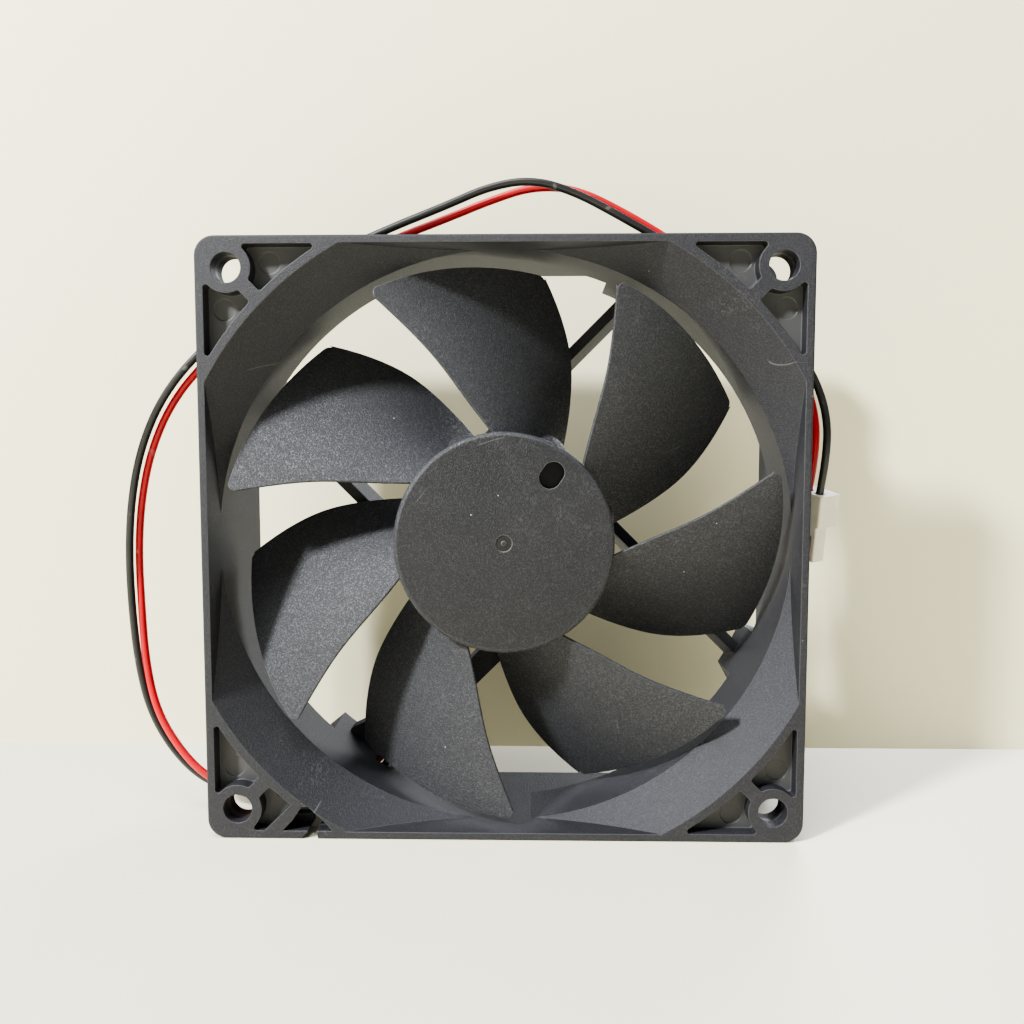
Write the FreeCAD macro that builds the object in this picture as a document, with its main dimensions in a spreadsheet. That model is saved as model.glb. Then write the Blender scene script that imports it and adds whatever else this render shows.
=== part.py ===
import FreeCAD, Part
import math
import os
import Sketcher
from FreeCAD import Placement, Rotation, Vector

# Case fan, 92 mm class, drawn in millimetres.  The rotor axis is Y, air enters at the front face
# (-Y) and leaves at the rear face (+Y), +Z is up and the fan stands on its lower edges.  The origin
# lies on the rotor axis, half way between the front and rear faces.

doc = FreeCAD.newDocument("case_fan")

# ---------------------------------------------------------------- driving dimensions (mm, degrees)
DIMENSIONS = {
    # housing
    "side": 92.0, "thick": 25.4, "flange": 5.0, "corner_r": 3.0, "rim_round": 0.35,
    "bore_r": 45.0, "duct_wall": 1.2, "flat_half": 44.8,
    "mouth_r": 51.0, "mouth_deep": 5.7, "outlet_r": 50.4, "outlet_long": 9.1,
    "hole_pitch": 82.5, "hole_r": 2.25, "boss_r": 3.75,
    "pocket_r": 52.3, "pocket_half": 44.7, "pocket_deep": 2.5, "rib_wide": 2.2,
    "pocket_round": 0.45,
    "slot_mark_r": 1.1, "slot_mark_x": 34.9, "slot_mark_z": 39.3,
    "pin_mark_r": 1.65, "pin_mark_deep": 0.2, "pin_mark_far": 42.4, "pin_mark_near": 35.4,
    # motor cup and struts, part of the housing
    "cup_r": 17.0, "cup_wall": 1.2, "cup_front": 18.2, "cup_floor": 22.4, "cup_back": 23.9,
    "shoulder_r": 14.6, "board_front": 18.8, "board_thick": 1.0, "board_r": 15.6,
    "post_r": 5.2, "post_front": 17.2,
    "strut_offset": 13.9, "strut_front": 20.0, "strut_back": 24.9,
    "guide_offset": 13.3, "guide_half": 1.95, "groove_half": 1.4, "groove_front": 21.2,
    # rotor
    "hub_r": 17.0, "hub_wall": 1.2, "hub_front": 1.5, "hub_skin": 1.4, "hub_back": 17.2,
    "hub_round": 0.7, "blade_count": 7.0, "blade_r": 43.2, "blade_root_r": 16.2,
    "blade_thick": 1.5, "blade_camber": 0.1, "lead_tip_r": 1.0, "trail_tip_r": 1.4,
    "root_bump_r": 4.7,
    "yoke_thick": 0.8, "yoke_back": 16.6, "magnet_front": 5.4, "magnet_back": 15.6,
    "magnet_thick": 2.0, "bush_r": 3.4, "bush_back": 6.2,
    "shaft_r": 1.5, "shaft_end": 22.0, "neck_r": 1.2, "neck_front": 20.7, "neck_long": 0.4,
    # bearing and stator
    "tube_r": 3.8, "tube_in_r": 3.0, "tube_front": 7.0, "shaft_gap": 0.03,
    "bearing_front": 7.9, "bearing_back": 20.2, "pad_front": 22.05, "plug_front": 22.6,
    "core_r": 12.4, "core_front": 8.0, "core_back": 14.0, "core_ring_r": 5.8,
    "neck_half": 1.5, "shoe_thick": 1.4, "shoe_half_angle": 34.0, "insulator": 0.8,
    "coil_near": 6.3, "coil_far": 9.9, "coil_build": 1.5, "coil_side": 2.2,
    # leads and connector
    "lead_d": 1.25, "lead_gap": 1.4,
    "plug_wide": 6.0, "plug_head": 5.4, "plug_long": 11.4, "contact_pitch": 2.5,
}

sheet = doc.addObject("Spreadsheet::Sheet", "dims")
for row, (name, value) in enumerate(DIMENSIONS.items(), start=1):
    sheet.set(f"A{row}", name)
    sheet.set(f"B{row}", str(value))
    sheet.setAlias(f"B{row}", name)
doc.recompute()

parts = []


def size(name):
    """A driving dimension as it stands in the sheet."""
    return float(sheet.get(name))


def depth(distance):
    """Y of a plane that lies this far behind the front face."""
    return distance - size("thick") / 2


def depth_of(name):
    """The expression for Y of a plane whose distance behind the front face is a driving dimension."""
    return f"dims.{name} - dims.thick / 2"


def bind(thing, **expressions):
    """Ties properties of an object to the sheet."""
    for prop, expression in expressions.items():
        thing.setExpression(prop.replace("__", "."), expression)


def keep(thing, label):
    """Names a finished piece, which is exported under that name."""
    thing.Label = label
    parts.append(thing)
    return thing


def shaped(name, shape):
    """A plain feature that holds a shape worked out from the sheet."""
    thing = doc.addObject("Part::Feature", name)
    thing.Shape = shape
    thing.Placement = Placement()
    return thing


def cut(name, base, tool):
    thing = doc.addObject("Part::Cut", name)
    thing.Base = base
    thing.Tool = tool
    return thing


def fuse(name, *shapes):
    thing = doc.addObject("Part::MultiFuse", name)
    thing.Shapes = list(shapes)
    return thing


def common(name, *shapes):
    thing = doc.addObject("Part::MultiCommon", name)
    thing.Shapes = list(shapes)
    return thing


def rod(name, radius, start, end):
    """A cylinder on the rotor axis; radius, start and end are expressions of the sheet."""
    thing = doc.addObject("Part::Cylinder", name)
    thing.Placement = Placement(Vector(), Rotation(Vector(1, 0, 0), -90))
    bind(thing, Radius=radius, Height=f"({end}) - ({start})", Placement__Base__y=start)
    return thing


def ring(name, outer, inner, start, end):
    """A tube on the rotor axis."""
    return cut(name, rod(name + "_outside", outer, start, end), rod(name + "_inside", inner, start, end))


def block(name, length, width, height, x, y, z):
    """A box whose sizes along X, Y and Z and whose lowest corner are expressions of the sheet."""
    thing = doc.addObject("Part::Box", name)
    bind(thing, Length=length, Width=width, Height=height)
    bind(thing, Placement__Base__x=x, Placement__Base__y=y, Placement__Base__z=z)
    return thing


def plane_of(body, role):
    """One of a body's own origin planes."""
    return next(item for item in body.Origin.OriginFeatures if item.Role == role)


def outline_sketch(body, name, role, corners):
    """A closed outline of straight lines; each corner is a pair of expressions of the sheet."""
    sketch = body.newObject("Sketcher::SketchObject", name)
    sketch.AttachmentSupport = [(plane_of(body, role), "")]
    sketch.MapMode = "FlatFace"
    count = len(corners)
    spots = [Vector(math.cos(math.tau * i / count), math.sin(math.tau * i / count), 0) for i in range(count)]
    for i in range(count):
        sketch.addGeometry(Part.LineSegment(spots[i], spots[(i + 1) % count]), False)
    for i in range(count):
        sketch.addConstraint(Sketcher.Constraint("Coincident", i, 2, (i + 1) % count, 1))
    for i, (across, along) in enumerate(corners):
        for kind, value, expression in (("DistanceX", spots[i].x, across), ("DistanceY", spots[i].y, along)):
            index = sketch.addConstraint(Sketcher.Constraint(kind, i, 1, value))
            sketch.setExpression(f"Constraints[{index}]", expression)
    return sketch


def turned(name, corners):
    """A body turned about the rotor axis from an outline of (radius, Y) corners."""
    body = doc.addObject("PartDesign::Body", name)
    sketch = outline_sketch(body, name + "_outline", "XY_Plane", corners)
    feature = body.newObject("PartDesign::Revolution", name + "_turn")
    feature.Profile = sketch
    feature.ReferenceAxis = (sketch, ["V_Axis"])
    feature.Angle = 360
    sketch.Visibility = False
    return body


# ---------------------------------------------------------------------------------------- housing
# One moulding: two square flanges, the duct between them, the motor cup and its four struts.
def square_prism(name, half, start, end, corner, rim=None):
    """A square prism about the rotor axis with rounded long edges and, where asked, rounded rims."""
    body = doc.addObject("PartDesign::Body", name)
    corners = [(f"-({half})", f"-({half})"), (half, f"-({half})"), (half, half), (f"-({half})", half)]
    sketch = outline_sketch(body, name + "_outline", "XZ_Plane", corners)
    sketch.setExpression("AttachmentOffset.Base.z", f"-({start})")
    pad = body.newObject("PartDesign::Pad", name + "_pad")
    pad.Profile = sketch
    pad.Reversed = True
    bind(pad, Length=f"({end}) - ({start})")
    doc.recompute()
    edges = [f"Edge{i}" for i, edge in enumerate(pad.Shape.Edges, start=1)
             if abs(edge.Vertexes[0].Y - edge.Vertexes[-1].Y) > edge.Length / 2]
    rounding = body.newObject("PartDesign::Fillet", name + "_round")
    rounding.Base = (pad, edges)
    bind(rounding, Radius=corner)
    if rim:
        doc.recompute()
        faces = [f"Face{i}" for i, face in enumerate(rounding.Shape.Faces, start=1)
                 if face.BoundBox.YLength < 0.01]
        rim_rounding = body.newObject("PartDesign::Fillet", name + "_rims")
        rim_rounding.Base = (rounding, faces)
        bind(rim_rounding, Radius=rim)
    return body


FRONT = "-dims.thick / 2"
REAR = "dims.thick / 2"
FLANGE_BACK = "dims.flange - dims.thick / 2"
FLANGE_FRONT = "dims.thick / 2 - dims.flange"
OUTLET = "dims.thick / 2 - dims.outlet_long"
MOUTH = "dims.mouth_deep - dims.thick / 2"

front_flange = square_prism("front_flange", "dims.side / 2", FRONT, FLANGE_BACK, "dims.corner_r", "dims.rim_round")
rear_flange = square_prism("rear_flange", "dims.side / 2", FLANGE_FRONT, REAR, "dims.corner_r", "dims.rim_round")
envelope = square_prism("envelope", "dims.side / 2", FRONT, REAR, "dims.corner_r", "dims.rim_round")
passage_sides = square_prism("passage_sides", "dims.flat_half", "-dims.thick", "dims.thick", "dims.corner_r")

duct = turned("duct", [
    ("0", FRONT), ("dims.bore_r + dims.duct_wall", FRONT), ("dims.bore_r + dims.duct_wall", OUTLET),
    ("dims.outlet_r + dims.duct_wall", REAR), ("0", REAR)])
passage = turned("passage", [
    ("0", "-dims.thick"), ("dims.mouth_r", "-dims.thick"), ("dims.mouth_r", FRONT), ("dims.bore_r", MOUTH),
    ("dims.bore_r", OUTLET), ("dims.outlet_r", REAR), ("dims.outlet_r", "dims.thick"), ("0", "dims.thick")])
duct_clipped = common("duct_clipped", duct, envelope)
air_way = common("air_way", passage, passage_sides)

# Each strut passes the axis at a distance, so the four make a pinwheel.  A strut is a wedge that is
# narrow in front; the one towards the lower left is a wider channel, open to the rear, for the leads.
STRUT_PROFILE = [(-0.8, "strut_front"), (0.9, "strut_front"), (0.6, "strut_back"), (-2.0, "strut_back")]
STRUT_TURNS = {"upper_right": 45.0, "lower_right": -45.0, "lower_left": -135.0, "upper_left": 135.0}
LEAD_STRUT = STRUT_TURNS["lower_left"]


def strut_frame(heading):
    """Places a bar drawn with its offset along +X and its run along -Z on the line of one strut."""
    return Placement(Vector(), Rotation(Vector(0, 1, 0), -90.0 - heading))


def strut_point(heading, offset, run, behind):
    """A point given by its offset from the axis, its run along a strut and its depth."""
    return strut_frame(heading).multVec(Vector(offset, depth(behind), -run))


def strut_bar(heading, corners, first, last):
    """A bar along one strut; corners are (offset from the axis, depth)."""
    loop = [Vector(offset, depth(behind), -last) for offset, behind in corners + corners[:1]]
    shape = Part.Face(Part.makePolygon(loop)).extrude(Vector(0, 0, last - first))
    return shape.transformGeometry(strut_frame(heading).toMatrix())


def strut_plate(heading, corners, front, back):
    """A flat plate square to the axis; corners are (offset from the axis, run along the strut)."""
    wire = Part.makePolygon([strut_point(heading, offset, run, front) for offset, run in corners + corners[:1]])
    return Part.Face(wire).extrude(Vector(0, back - front, 0))


def channel_box(half, front, back, first, last):
    """A straight box along the lead strut, about the line of its channel."""
    low, high = size("guide_offset") - half, size("guide_offset") + half
    return strut_bar(LEAD_STRUT, [(low, front), (high, front), (high, back), (low, back)], first, last)


# The outlet's flare isn't cut behind the struts: there each stands on a pad that keeps the bore's
# radius to the rear face.  The lead strut's pad is wider.
PAD_OUTLINE = [(10.0, 41.0), (10.0, 43.9), (8.2, 50.0), (20.6, 47.5), (17.8, 41.4), (17.8, 39.0)]
LEAD_PAD_OUTLINE = [(2.8, 41.0), (2.8, 44.8), (2.2, 50.5), (20.6, 47.5), (17.8, 41.4), (17.8, 39.0)]
PAD_FRONT = 14.0
pad_shapes = [strut_plate(turn, LEAD_PAD_OUTLINE if turn == LEAD_STRUT else PAD_OUTLINE,
                          PAD_FRONT, 2 * size("thick")) for turn in STRUT_TURNS.values()]
pads = cut("pads", shaped("pads_raw", pad_shapes[0].multiFuse(pad_shapes[1:])),
           rod("pad_bore", "dims.bore_r", FRONT, "2 * dims.thick"))
shell_blank = cut("shell_blank", fuse("shell_solid", front_flange, rear_flange, duct_clipped),
                  cut("air_way_between_pads", air_way, pads))


def corner_spots(half):
    """The four corners of a square about the axis, as (x, z)."""
    return [(sx * half, sz * half) for sx in (-1, 1) for sz in (-1, 1)]


def corner_rods(name, radius, start, end):
    """Four rods parallel to the axis, one at each screw position."""
    rods = []
    for index, (side_x, side_z) in enumerate(corner_spots(1)):
        item = rod(f"{name}_{index}", radius, start, end)
        bind(item, Placement__Base__x=f"{side_x} * dims.hole_pitch / 2")
        bind(item, Placement__Base__z=f"{side_z} * dims.hole_pitch / 2")
        rods.append(item)
    return fuse(name, *rods)


def diagonal_ribs(name, start, end):
    """The ribs that join each screw boss to the duct: two bars across the diagonals."""
    bars = []
    for turn in (45, -45):
        bar = block(f"{name}_{'up' if turn > 0 else 'down'}", "dims.side * 2", end + f" - ({start})",
                    "dims.rib_wide", "0", start, "0")
        turned_place = Rotation(Vector(0, 1, 0), turn)
        low_corner = turned_place.multVec(Vector(-size("side"), 0, -size("rib_wide") / 2))
        bar.Placement = Placement(low_corner, turned_place)
        bind(bar, Placement__Base__x=str(low_corner.x), Placement__Base__z=str(low_corner.z))
        bars.append(bar)
    return fuse(name, *bars)


# The left lower corner of the front flange carries the wire slot, so a rotated block keeps the
# pocket away from it: it covers all that lies beyond the slot's own rib.
SLOT_RIB = Vector(-33.0, 0, -40.6)
SLOT_THROUGH = [(-33.0, -43.4), (-31.3, -40.9), (-30.3, -40.9), (-27.7, -43.4)]
SLOT_NECK = [(-30.4, -43.5), (-30.4, -44.9), (-31.7, -46.1), (-28.8, -46.1), (-29.0, -44.9), (-29.0, -43.5)]
SLOT_HOOKS = [(-34.3, -44.7), (-33.0, -43.3), (-27.7, -43.3), (-26.6, -44.7)]
HOOK_DEEP = 3.6


def prism(corners, start, end):
    """A straight prism along Y with a polygon of (x, z) corners."""
    wire = Part.makePolygon([Vector(x, start, z) for x, z in corners + corners[:1]])
    return Part.Face(wire).extrude(Vector(0, end - start, 0))


slot_tools = shaped("wire_slot_tools", prism(SLOT_THROUGH, depth(-1), depth(size("flange") + 1)).multiFuse([
    prism(SLOT_NECK, depth(-1), depth(size("flange") + 1)), prism(SLOT_HOOKS, depth(-1), depth(HOOK_DEEP))]))
KEEP_LONG = 30
slot_keep = shaped("wire_slot_keep", Part.makeBox(KEEP_LONG, 8, KEEP_LONG, Vector(0, 0, -KEEP_LONG / 2)))
slot_keep.Placement = Placement(Vector(SLOT_RIB.x, depth(-2), SLOT_RIB.z), Rotation(Vector(0, 1, 0), 45))


def pocket_tool(name, start, end):
    """The cored pockets of one flange: a square plate less the duct ring, bosses and ribs."""
    plate = block(name + "_plate", "2 * dims.pocket_half", f"({end}) - ({start})", "2 * dims.pocket_half",
                  "-dims.pocket_half", start, "-dims.pocket_half")
    tips = []
    for index, sides in enumerate(corner_spots(1)):
        low_x, low_z = ("dims.hole_pitch / 2" if side > 0 else "-dims.side / 2" for side in sides)
        beyond_hole = "dims.side / 2 - dims.hole_pitch / 2"
        tips.append(block(f"{name}_tip_{index}", beyond_hole, f"({end}) - ({start})", beyond_hole,
                          low_x, start, low_z))
    island = fuse(name + "_island", rod(name + "_ring", "dims.pocket_r", start, end),
                  corner_rods(name + "_bosses", "dims.boss_r", start, end),
                  diagonal_ribs(name + "_ribs", start, end), *tips)
    sharp = cut(name + "_sharp", plate, island)
    doc.recompute()
    upright = [index for index, edge in enumerate(sharp.Shape.Edges, start=1)
               if edge.BoundBox.YLength > edge.Length - 0.01]
    rounded = doc.addObject("Part::Fillet", name)
    rounded.Base = sharp
    rounded.Edges = [(index, size("pocket_round"), size("pocket_round")) for index in upright]
    return rounded


def pin_marks(name, start, end):
    """Shallow discs that the ejector pins leave in the pocket floors, two to a corner."""
    discs = []
    for index, (side_x, side_z) in enumerate(corner_spots(1)):
        for swap in (False, True):
            far, near = ("near", "far") if swap else ("far", "near")
            by_slot = swap and (side_x, side_z) == (-1, -1)
            disc = rod(f"{name}_{index}_{far}", "dims.slot_mark_r" if by_slot else "dims.pin_mark_r", start, end)
            bind(disc, Placement__Base__x="-dims.slot_mark_x" if by_slot else f"{side_x} * dims.pin_mark_{far}")
            bind(disc, Placement__Base__z="-dims.slot_mark_z" if by_slot else f"{side_z} * dims.pin_mark_{near}")
            discs.append(disc)
    return fuse(name, *discs)


front_pockets = cut("front_pockets", pocket_tool("front_coring", FRONT, "dims.pocket_deep - dims.thick / 2"),
                    slot_keep)
rear_pockets = pocket_tool("rear_coring", "dims.thick / 2 - dims.pocket_deep", REAR)
front_marks = common("front_marks_clipped", pin_marks(
    "front_marks", FRONT, "dims.pocket_deep + dims.pin_mark_deep - dims.thick / 2"),
    cut("front_marks_field", pocket_tool("front_field", FRONT, "dims.pocket_deep + 1 - dims.thick / 2"), slot_keep))
screw_holes = corner_rods("screw_holes", "dims.hole_r", "-dims.thick", "dims.thick")

# Motor cup: floor, rim, the shoulder that the circuit board rests on, and the post for the bearing tube.
CUP_IN = "dims.cup_r - dims.cup_wall"
BOARD_BACK = "dims.board_front + dims.board_thick - dims.thick / 2"
motor_cup = turned("motor_cup", [
    ("dims.tube_r", depth_of("post_front")), ("dims.post_r", depth_of("post_front")),
    ("dims.post_r", depth_of("cup_floor")), ("dims.shoulder_r", depth_of("cup_floor")),
    ("dims.shoulder_r", BOARD_BACK), (CUP_IN, BOARD_BACK), (CUP_IN, depth_of("cup_front")),
    ("dims.cup_r", depth_of("cup_front")), ("dims.cup_r", depth_of("cup_back")),
    ("dims.tube_r", depth_of("cup_back"))])

# A web spreads from the lead strut towards its foot.
STRUT_END = 49.0
WEB_OUTLINE = [(11.5, 27.5), (5.4, 44.0), (5.4, 46.5), (11.5, 46.5)]
WEB_FRONT, WEB_BACK = 20.6, 23.6
plain_profile = [(size("strut_offset") + across, size(level)) for across, level in STRUT_PROFILE]
strut_shapes = [strut_bar(turn, plain_profile, 0, STRUT_END) for turn in STRUT_TURNS.values() if turn != LEAD_STRUT]
strut_shapes.append(channel_box(size("guide_half"), size("strut_front"), size("strut_back"), 0, STRUT_END))
strut_shapes.append(strut_plate(LEAD_STRUT, WEB_OUTLINE, WEB_FRONT, WEB_BACK))
struts_raw = shaped("struts_raw", strut_shapes[0].multiFuse(strut_shapes[1:]))
struts_clipped = common("struts_clipped", struts_raw, duct_clipped)
struts = cut("struts", struts_clipped, rod("cup_space", CUP_IN, depth_of("post_front"), REAR))

# The channel is open to the rear from the board to the gap between the flanges, where it leaves
# through a window in the duct wall.
CHANNEL_START, CHANNEL_RIM, WALL_WINDOW = 2.5, 11.5, 42.5
lead_channel = shaped("lead_channel", channel_box(
    size("groove_half"), size("groove_front"), size("thick") + 1, CHANNEL_START, WALL_WINDOW + 1).multiFuse([
        channel_box(size("groove_half"), size("board_front") + size("board_thick"), size("thick") + 1,
                    CHANNEL_START, CHANNEL_RIM),
        channel_box(size("groove_half") + 0.3, 15.5, size("thick") + 1, WALL_WINDOW, 48.6)]))

frame_solid = shell_blank
for addition in (motor_cup, struts):
    frame_solid = fuse("frame_with_" + addition.Name, frame_solid, addition)
frame = cut("frame", frame_solid, fuse(
    "frame_cuts", front_pockets, rear_pockets, front_marks, screw_holes, slot_tools, lead_channel))
keep(frame, "frame")

# ------------------------------------------------------------------------------------------ rotor
# Hub with seven blades, one moulding.  The hub is a cup open to the rear.
HUB_FRONT = depth_of("hub_front")
HUB_SKIN_BACK = "dims.hub_front + dims.hub_skin - dims.thick / 2"
HUB_IN = "dims.hub_r - dims.hub_wall"
hub = turned("hub", [
    ("0", HUB_FRONT), ("dims.hub_r", HUB_FRONT), ("dims.hub_r", depth_of("hub_back")),
    (HUB_IN, depth_of("hub_back")), (HUB_IN, HUB_SKIN_BACK), ("0", HUB_SKIN_BACK)])
doc.recompute()
hub_rim = [f"Edge{i}" for i, edge in enumerate(hub.Shape.Edges, start=1)
           if abs(edge.BoundBox.YMax - depth(size("hub_front"))) < 0.01 and edge.BoundBox.XLength > size("hub_r")]
hub_cup = hub.Tip
hub_edge = hub.newObject("PartDesign::Fillet", "hub_edge")
hub_edge.Base = (hub_cup, hub_rim)
bind(hub_edge, Radius="dims.hub_round")

# Stations of the blade that points along +Z: height above the axis, X and depth of the leading
# edge, X and depth of the trailing edge.
BLADE_STATIONS = [
    (13.0, 1.5, 3.9, 8.9, 16.4), (18.0, -2.5, 3.3, 10.0, 16.2), (23.0, -6.3, 2.9, 10.6, 16.0),
    (28.0, -10.1, 2.6, 10.7, 15.9), (33.0, -14.8, 2.3, 9.9, 15.7), (38.0, -20.2, 1.9, 8.3, 15.6),
    (44.0, -27.0, 1.5, 5.5, 15.5)]
# Along the chord from leading to trailing edge: share of the chord and share of the full thickness.
BLADE_THICKNESS = [(0.0, 0.42), (0.12, 0.8), (0.35, 1.0), (0.65, 0.85), (0.88, 0.6), (1.0, 0.46)]


def blade_section(height, lead_x, lead_deep, trail_x, trail_deep):
    """One closed blade section, in the plane at this height: two curved sides, two blunt ends."""
    chord = Vector(trail_x - lead_x, trail_deep - lead_deep, 0)
    across = Vector(-chord.y, chord.x, 0).normalize()
    sides = ([], [])
    for share, fullness in BLADE_THICKNESS:
        bow = size("blade_camber") * math.sin(math.pi * share) * chord.y
        middle = Vector(lead_x, depth(lead_deep), height) + chord * share - Vector(0, bow, 0)
        for side, sign in zip(sides, (1, -1)):
            side.append(middle + across * (sign * fullness * size("blade_thick") / 2))
    rear, front = (Part.BSplineCurve() for _ in sides)
    rear.interpolate(sides[0])
    front.interpolate(sides[1])
    nose = sides[0][0] + (sides[1][0] - sides[0][0]) * 0.5 - chord.normalize() * (0.2 * size("blade_thick"))
    ends = [Part.Arc(sides[1][0], nose, sides[0][0]), Part.LineSegment(sides[0][-1], sides[1][-1])]
    return Part.Wire([rear.toShape(), ends[1].toShape(), front.toShape(), ends[0].toShape()])


blade_whole = Part.makeLoft([blade_section(*station) for station in BLADE_STATIONS], True)
blade_ring = Part.makeCylinder(size("blade_r"), size("thick"), Vector(0, depth(0), 0), Vector(0, 1, 0)).cut(
    Part.makeCylinder(size("blade_root_r"), size("thick"), Vector(0, depth(0), 0), Vector(0, 1, 0)))


def plan(angle, length):
    """A vector square to the axis, by its angle from +X towards +Z."""
    return Vector(length * math.cos(math.radians(angle)), 0, length * math.sin(math.radians(angle)))


def tip_rounding(corner_at, along_tip, along_edge, radius):
    """What one rounded tip corner takes away; the two directions lead from it into the blade."""
    corner, tip_way, edge_way = plan(corner_at, size("blade_r")), plan(along_tip, 1), plan(along_edge, 1)
    half = tip_way.getAngle(edge_way) / 2
    middle = (tip_way + edge_way).normalize()
    reach = radius / math.tan(half)
    centre = corner + middle * (radius / math.sin(half))
    kite = [corner - middle * radius, corner + tip_way * reach, centre, corner + edge_way * reach]
    start = Vector(centre.x, depth(-1), centre.z)
    disc = Part.makeCylinder(radius, size("thick") + 2, start, Vector(0, 1, 0))
    return prism([(spot.x, spot.z) for spot in kite], depth(-1), depth(size("thick") + 1)).cut(disc)


# The tip's corners in plan, and the swell that fills the corner between blade and hub.
LEAD_TIP, LEAD_EDGE_WAY = 118.1, -42.0
TRAIL_TIP, TRAIL_EDGE_WAY = 82.0, -62.5
BUMP_AT, BUMP_OUT, BUMP_DEEP = 65.5, 13.5, 12.0
tip_tools = [tip_rounding(LEAD_TIP, LEAD_TIP - 90, LEAD_EDGE_WAY, size("lead_tip_r")),
             tip_rounding(TRAIL_TIP, TRAIL_TIP + 90, TRAIL_EDGE_WAY, size("trail_tip_r"))]
root_bump = Part.makeSphere(size("root_bump_r"), plan(BUMP_AT, BUMP_OUT) + Vector(0, depth(BUMP_DEEP), 0))
blade_shape = blade_whole.fuse(root_bump).common(blade_ring).cut(tip_tools)
blades = []
for index in range(int(size("blade_count"))):
    blade = shaped(f"blade_{index}", blade_shape.copy())
    blade.Placement = Placement(Vector(), Rotation(Vector(0, 1, 0), 360.0 * index / size("blade_count")))
    blades.append(blade)

# An oval opening through the hub face shows the yoke, and the gate mark sits on the axis.
OVAL_SPOT = (7.3, 10.4)
OVAL_HALF = (1.65, 0.5)
OVAL_TURN = 55.0
oval_bar = Part.makeBox(2 * OVAL_HALF[1], 4, 2 * OVAL_HALF[0], Vector(-OVAL_HALF[1], -2, -OVAL_HALF[0]))
oval_ends = [Part.makeCylinder(OVAL_HALF[0], 4, Vector(x, -2, 0), Vector(0, 1, 0))
             for x in (-OVAL_HALF[1], OVAL_HALF[1])]
oval = shaped("hub_opening", oval_bar.multiFuse(oval_ends).removeSplitter())
oval.Placement = Placement(Vector(OVAL_SPOT[0], depth(size("hub_front")), OVAL_SPOT[1]),
                           Rotation(Vector(0, 1, 0), -OVAL_TURN))
GATE_R, GATE_DOT_R, GATE_DEEP = 1.3, 0.35, 0.2
gate = ring("gate_mark", str(GATE_R), str(GATE_DOT_R), "dims.hub_front - 1 - dims.thick / 2",
            f"dims.hub_front + {GATE_DEEP} - dims.thick / 2")
keep(cut("impeller", fuse("impeller_solid", hub, *blades), fuse("hub_cuts", oval, gate)), "impeller")

YOKE_IN = "dims.hub_r - dims.hub_wall - dims.yoke_thick"
YOKE_BACK_OF_FACE = "dims.hub_front + dims.hub_skin + dims.yoke_thick - dims.thick / 2"
keep(turned("yoke", [
    ("dims.bush_r", HUB_SKIN_BACK), (HUB_IN, HUB_SKIN_BACK), (HUB_IN, depth_of("yoke_back")),
    (YOKE_IN, depth_of("yoke_back")), (YOKE_IN, YOKE_BACK_OF_FACE), ("dims.bush_r", YOKE_BACK_OF_FACE)]),
    "rotor_yoke")
keep(ring("magnet", YOKE_IN, f"{YOKE_IN} - dims.magnet_thick", depth_of("magnet_front"), depth_of("magnet_back")),
     "ring_magnet")
keep(ring("bush", "dims.bush_r", "dims.shaft_r", HUB_SKIN_BACK, depth_of("bush_back")), "shaft_bush")

NECK_BACK = "dims.neck_front + dims.neck_long - dims.thick / 2"
keep(turned("shaft", [
    ("0", HUB_SKIN_BACK), ("dims.shaft_r", HUB_SKIN_BACK), ("dims.shaft_r", depth_of("neck_front")),
    ("dims.neck_r", depth_of("neck_front")), ("dims.neck_r", NECK_BACK), ("dims.shaft_r", NECK_BACK),
    ("dims.shaft_r", "dims.shaft_end - 0.5 - dims.thick / 2"), ("dims.shaft_r - 0.5", depth_of("shaft_end")),
    ("0", depth_of("shaft_end"))]), "shaft")
clip_ring = ring("clip_ring", "dims.tube_in_r - 0.4", "dims.neck_r", depth_of("neck_front"), NECK_BACK)
clip_slot = block("clip_slot", "1.2", "dims.neck_long + 1", "4", "-0.6",
                  "dims.neck_front - 0.5 - dims.thick / 2", "0")
keep(cut("clip", clip_ring, clip_slot), "retaining_clip")
keep(ring("oil_ring_body", "dims.tube_in_r - 0.3", "dims.shaft_r", "dims.tube_front + 0.1 - dims.thick / 2",
          "dims.bearing_front - 0.2 - dims.thick / 2"), "oil_ring")

# --------------------------------------------------------------------------------- bearing, stator
keep(ring("tube_body", "dims.tube_r", "dims.tube_in_r", depth_of("tube_front"), depth_of("cup_back")),
     "bearing_tube")
keep(ring("bearing_body", "dims.tube_in_r", "dims.shaft_r + dims.shaft_gap", depth_of("bearing_front"),
          depth_of("bearing_back")), "sleeve_bearing")
keep(rod("pad_body", "dims.tube_in_r", depth_of("pad_front"), depth_of("plug_front")), "thrust_pad")
keep(rod("plug_body", "dims.tube_in_r", depth_of("plug_front"), depth_of("cup_back")), "end_plug")
keep(rod("label_body", "dims.cup_r - 4.6", depth_of("cup_back"), "dims.cup_back + 0.15 - dims.thick / 2"),
     "blank_label")

POLES = 4
CORE_FRONT, CORE_BACK = "core_front", "core_back"


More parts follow.
